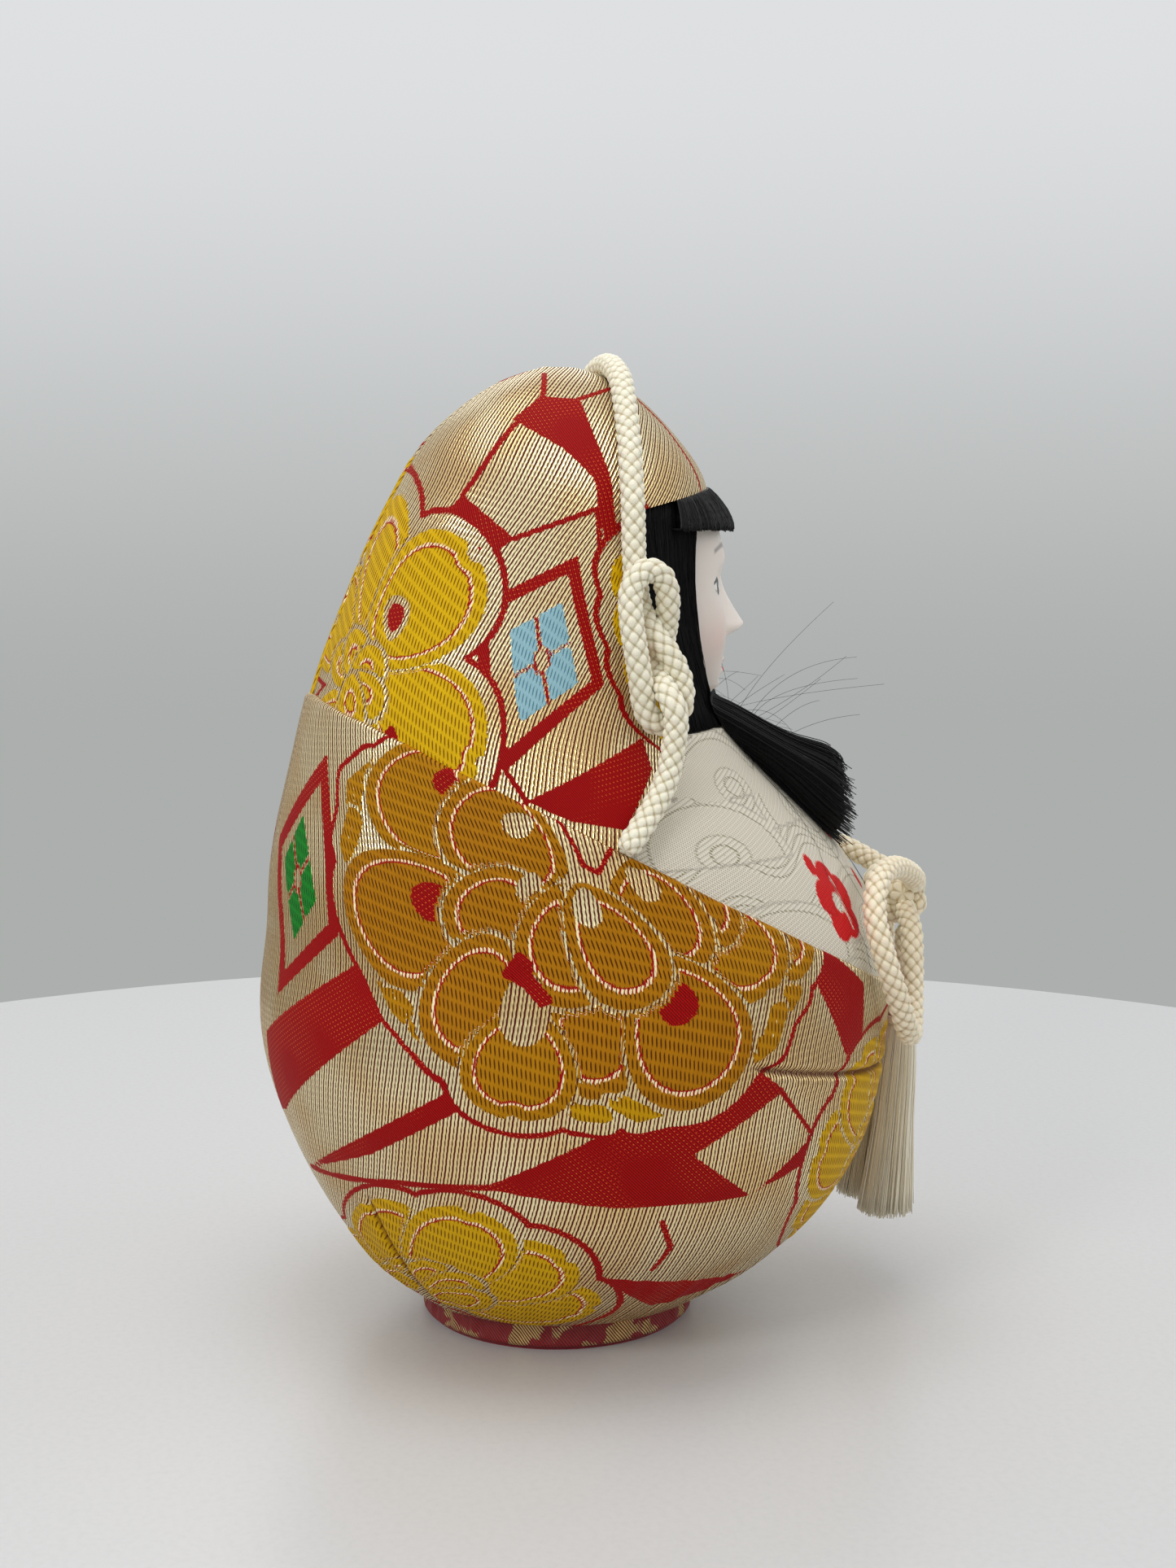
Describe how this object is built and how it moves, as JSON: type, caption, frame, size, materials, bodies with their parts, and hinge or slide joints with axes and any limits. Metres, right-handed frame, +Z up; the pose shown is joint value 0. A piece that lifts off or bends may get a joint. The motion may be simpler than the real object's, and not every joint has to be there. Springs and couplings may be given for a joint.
{
  "type": "princess daruma doll",
  "caption": "Egg-shaped kimekomi princess daruma in gold and red brocade, with a hooded head, knotted hood cord, and a cord bow with two swinging tassels.",
  "frame": {"origin": "centre of the foot's flat underside", "axes": "+Z up, the doll faces -Y, its right side is towards -X"},
  "size_m": [0.0974, 0.1088, 0.1513],
  "materials": {
    "core_compound": "pressed wood-powder compound, matt",
    "hood_brocade": "woven brocade, gold foil and red silk, soft metallic sheen",
    "chest_brocade": "off-white woven brocade with silver waves",
    "robe_brocade": "woven brocade, gold foil, red and mustard silk",
    "foot_board": "pressed board disc",
    "foot_brocade": "dark red woven brocade with gold flecks",
    "pad_felt": "thin felt",
    "shell_white": "matt shell-white coating, polished smooth",
    "peg_wood": "plain wooden dowel",
    "hair_silk": "black silk floss",
    "white_cord": "round braided cord",
    "cream_cord": "round braided cord, wound silk",
    "tassel_silk": "loose silk threads",
    "pin_steel": "thin steel pin"
  },
  "bodies": {
    "doll": {"body_core": "core_compound", "hood_panel_right": "hood_brocade", "hood_panel_left": "hood_brocade", "hood_front_band": "hood_brocade", "chest_panel": "chest_brocade", "robe_wrap": "robe_brocade", "foot_disc": "foot_board", "foot_cover": "foot_brocade", "foot_pad": "pad_felt", "head": "shell_white", "neck_peg": "peg_wood", "hair_bangs": "hair_silk", "hair_side_right": "hair_silk", "hair_side_left": "hair_silk", "hair_lock_right": "hair_silk", "hair_lock_left": "hair_silk", "hood_cord": "white_cord", "bow_knot": "cream_cord", "bow_pin": "pin_steel", "bow_ear_right": "cream_cord", "bow_ear_left": "cream_cord"},
    "tail_right": {"tassel_cord_right": "cream_cord"},
    "tassel_right": {"tassel_head_right": "cream_cord", "tassel_band_right": "cream_cord", "tassel_skirt_right": "tassel_silk"},
    "tail_left": {"tassel_cord_left": "cream_cord"},
    "tassel_left": {"tassel_head_left": "cream_cord", "tassel_band_left": "cream_cord", "tassel_skirt_left": "tassel_silk"}
  },
  "joints": [
    {"name": "tail_right_sway", "type": "hinge", "parent": "doll", "child": "tail_right", "pos_m": [-0.0038, -0.0572, 0.0602], "axis": [0, 1, 0], "range_deg": [0, 25]},
    {"name": "tassel_right_swing", "type": "hinge", "parent": "tail_right", "child": "tassel_right", "pos_m": [-0.0038, -0.0572, 0.0499], "axis": [-1, 0, 0], "range_deg": [0, 45]},
    {"name": "tail_left_sway", "type": "hinge", "parent": "doll", "child": "tail_left", "pos_m": [0.0038, -0.0572, 0.0602], "axis": [0, -1, 0], "range_deg": [0, 25]},
    {"name": "tassel_left_swing", "type": "hinge", "parent": "tail_left", "child": "tassel_left", "pos_m": [0.0038, -0.0572, 0.0499], "axis": [-1, 0, 0], "range_deg": [0, 45]}
  ]
}
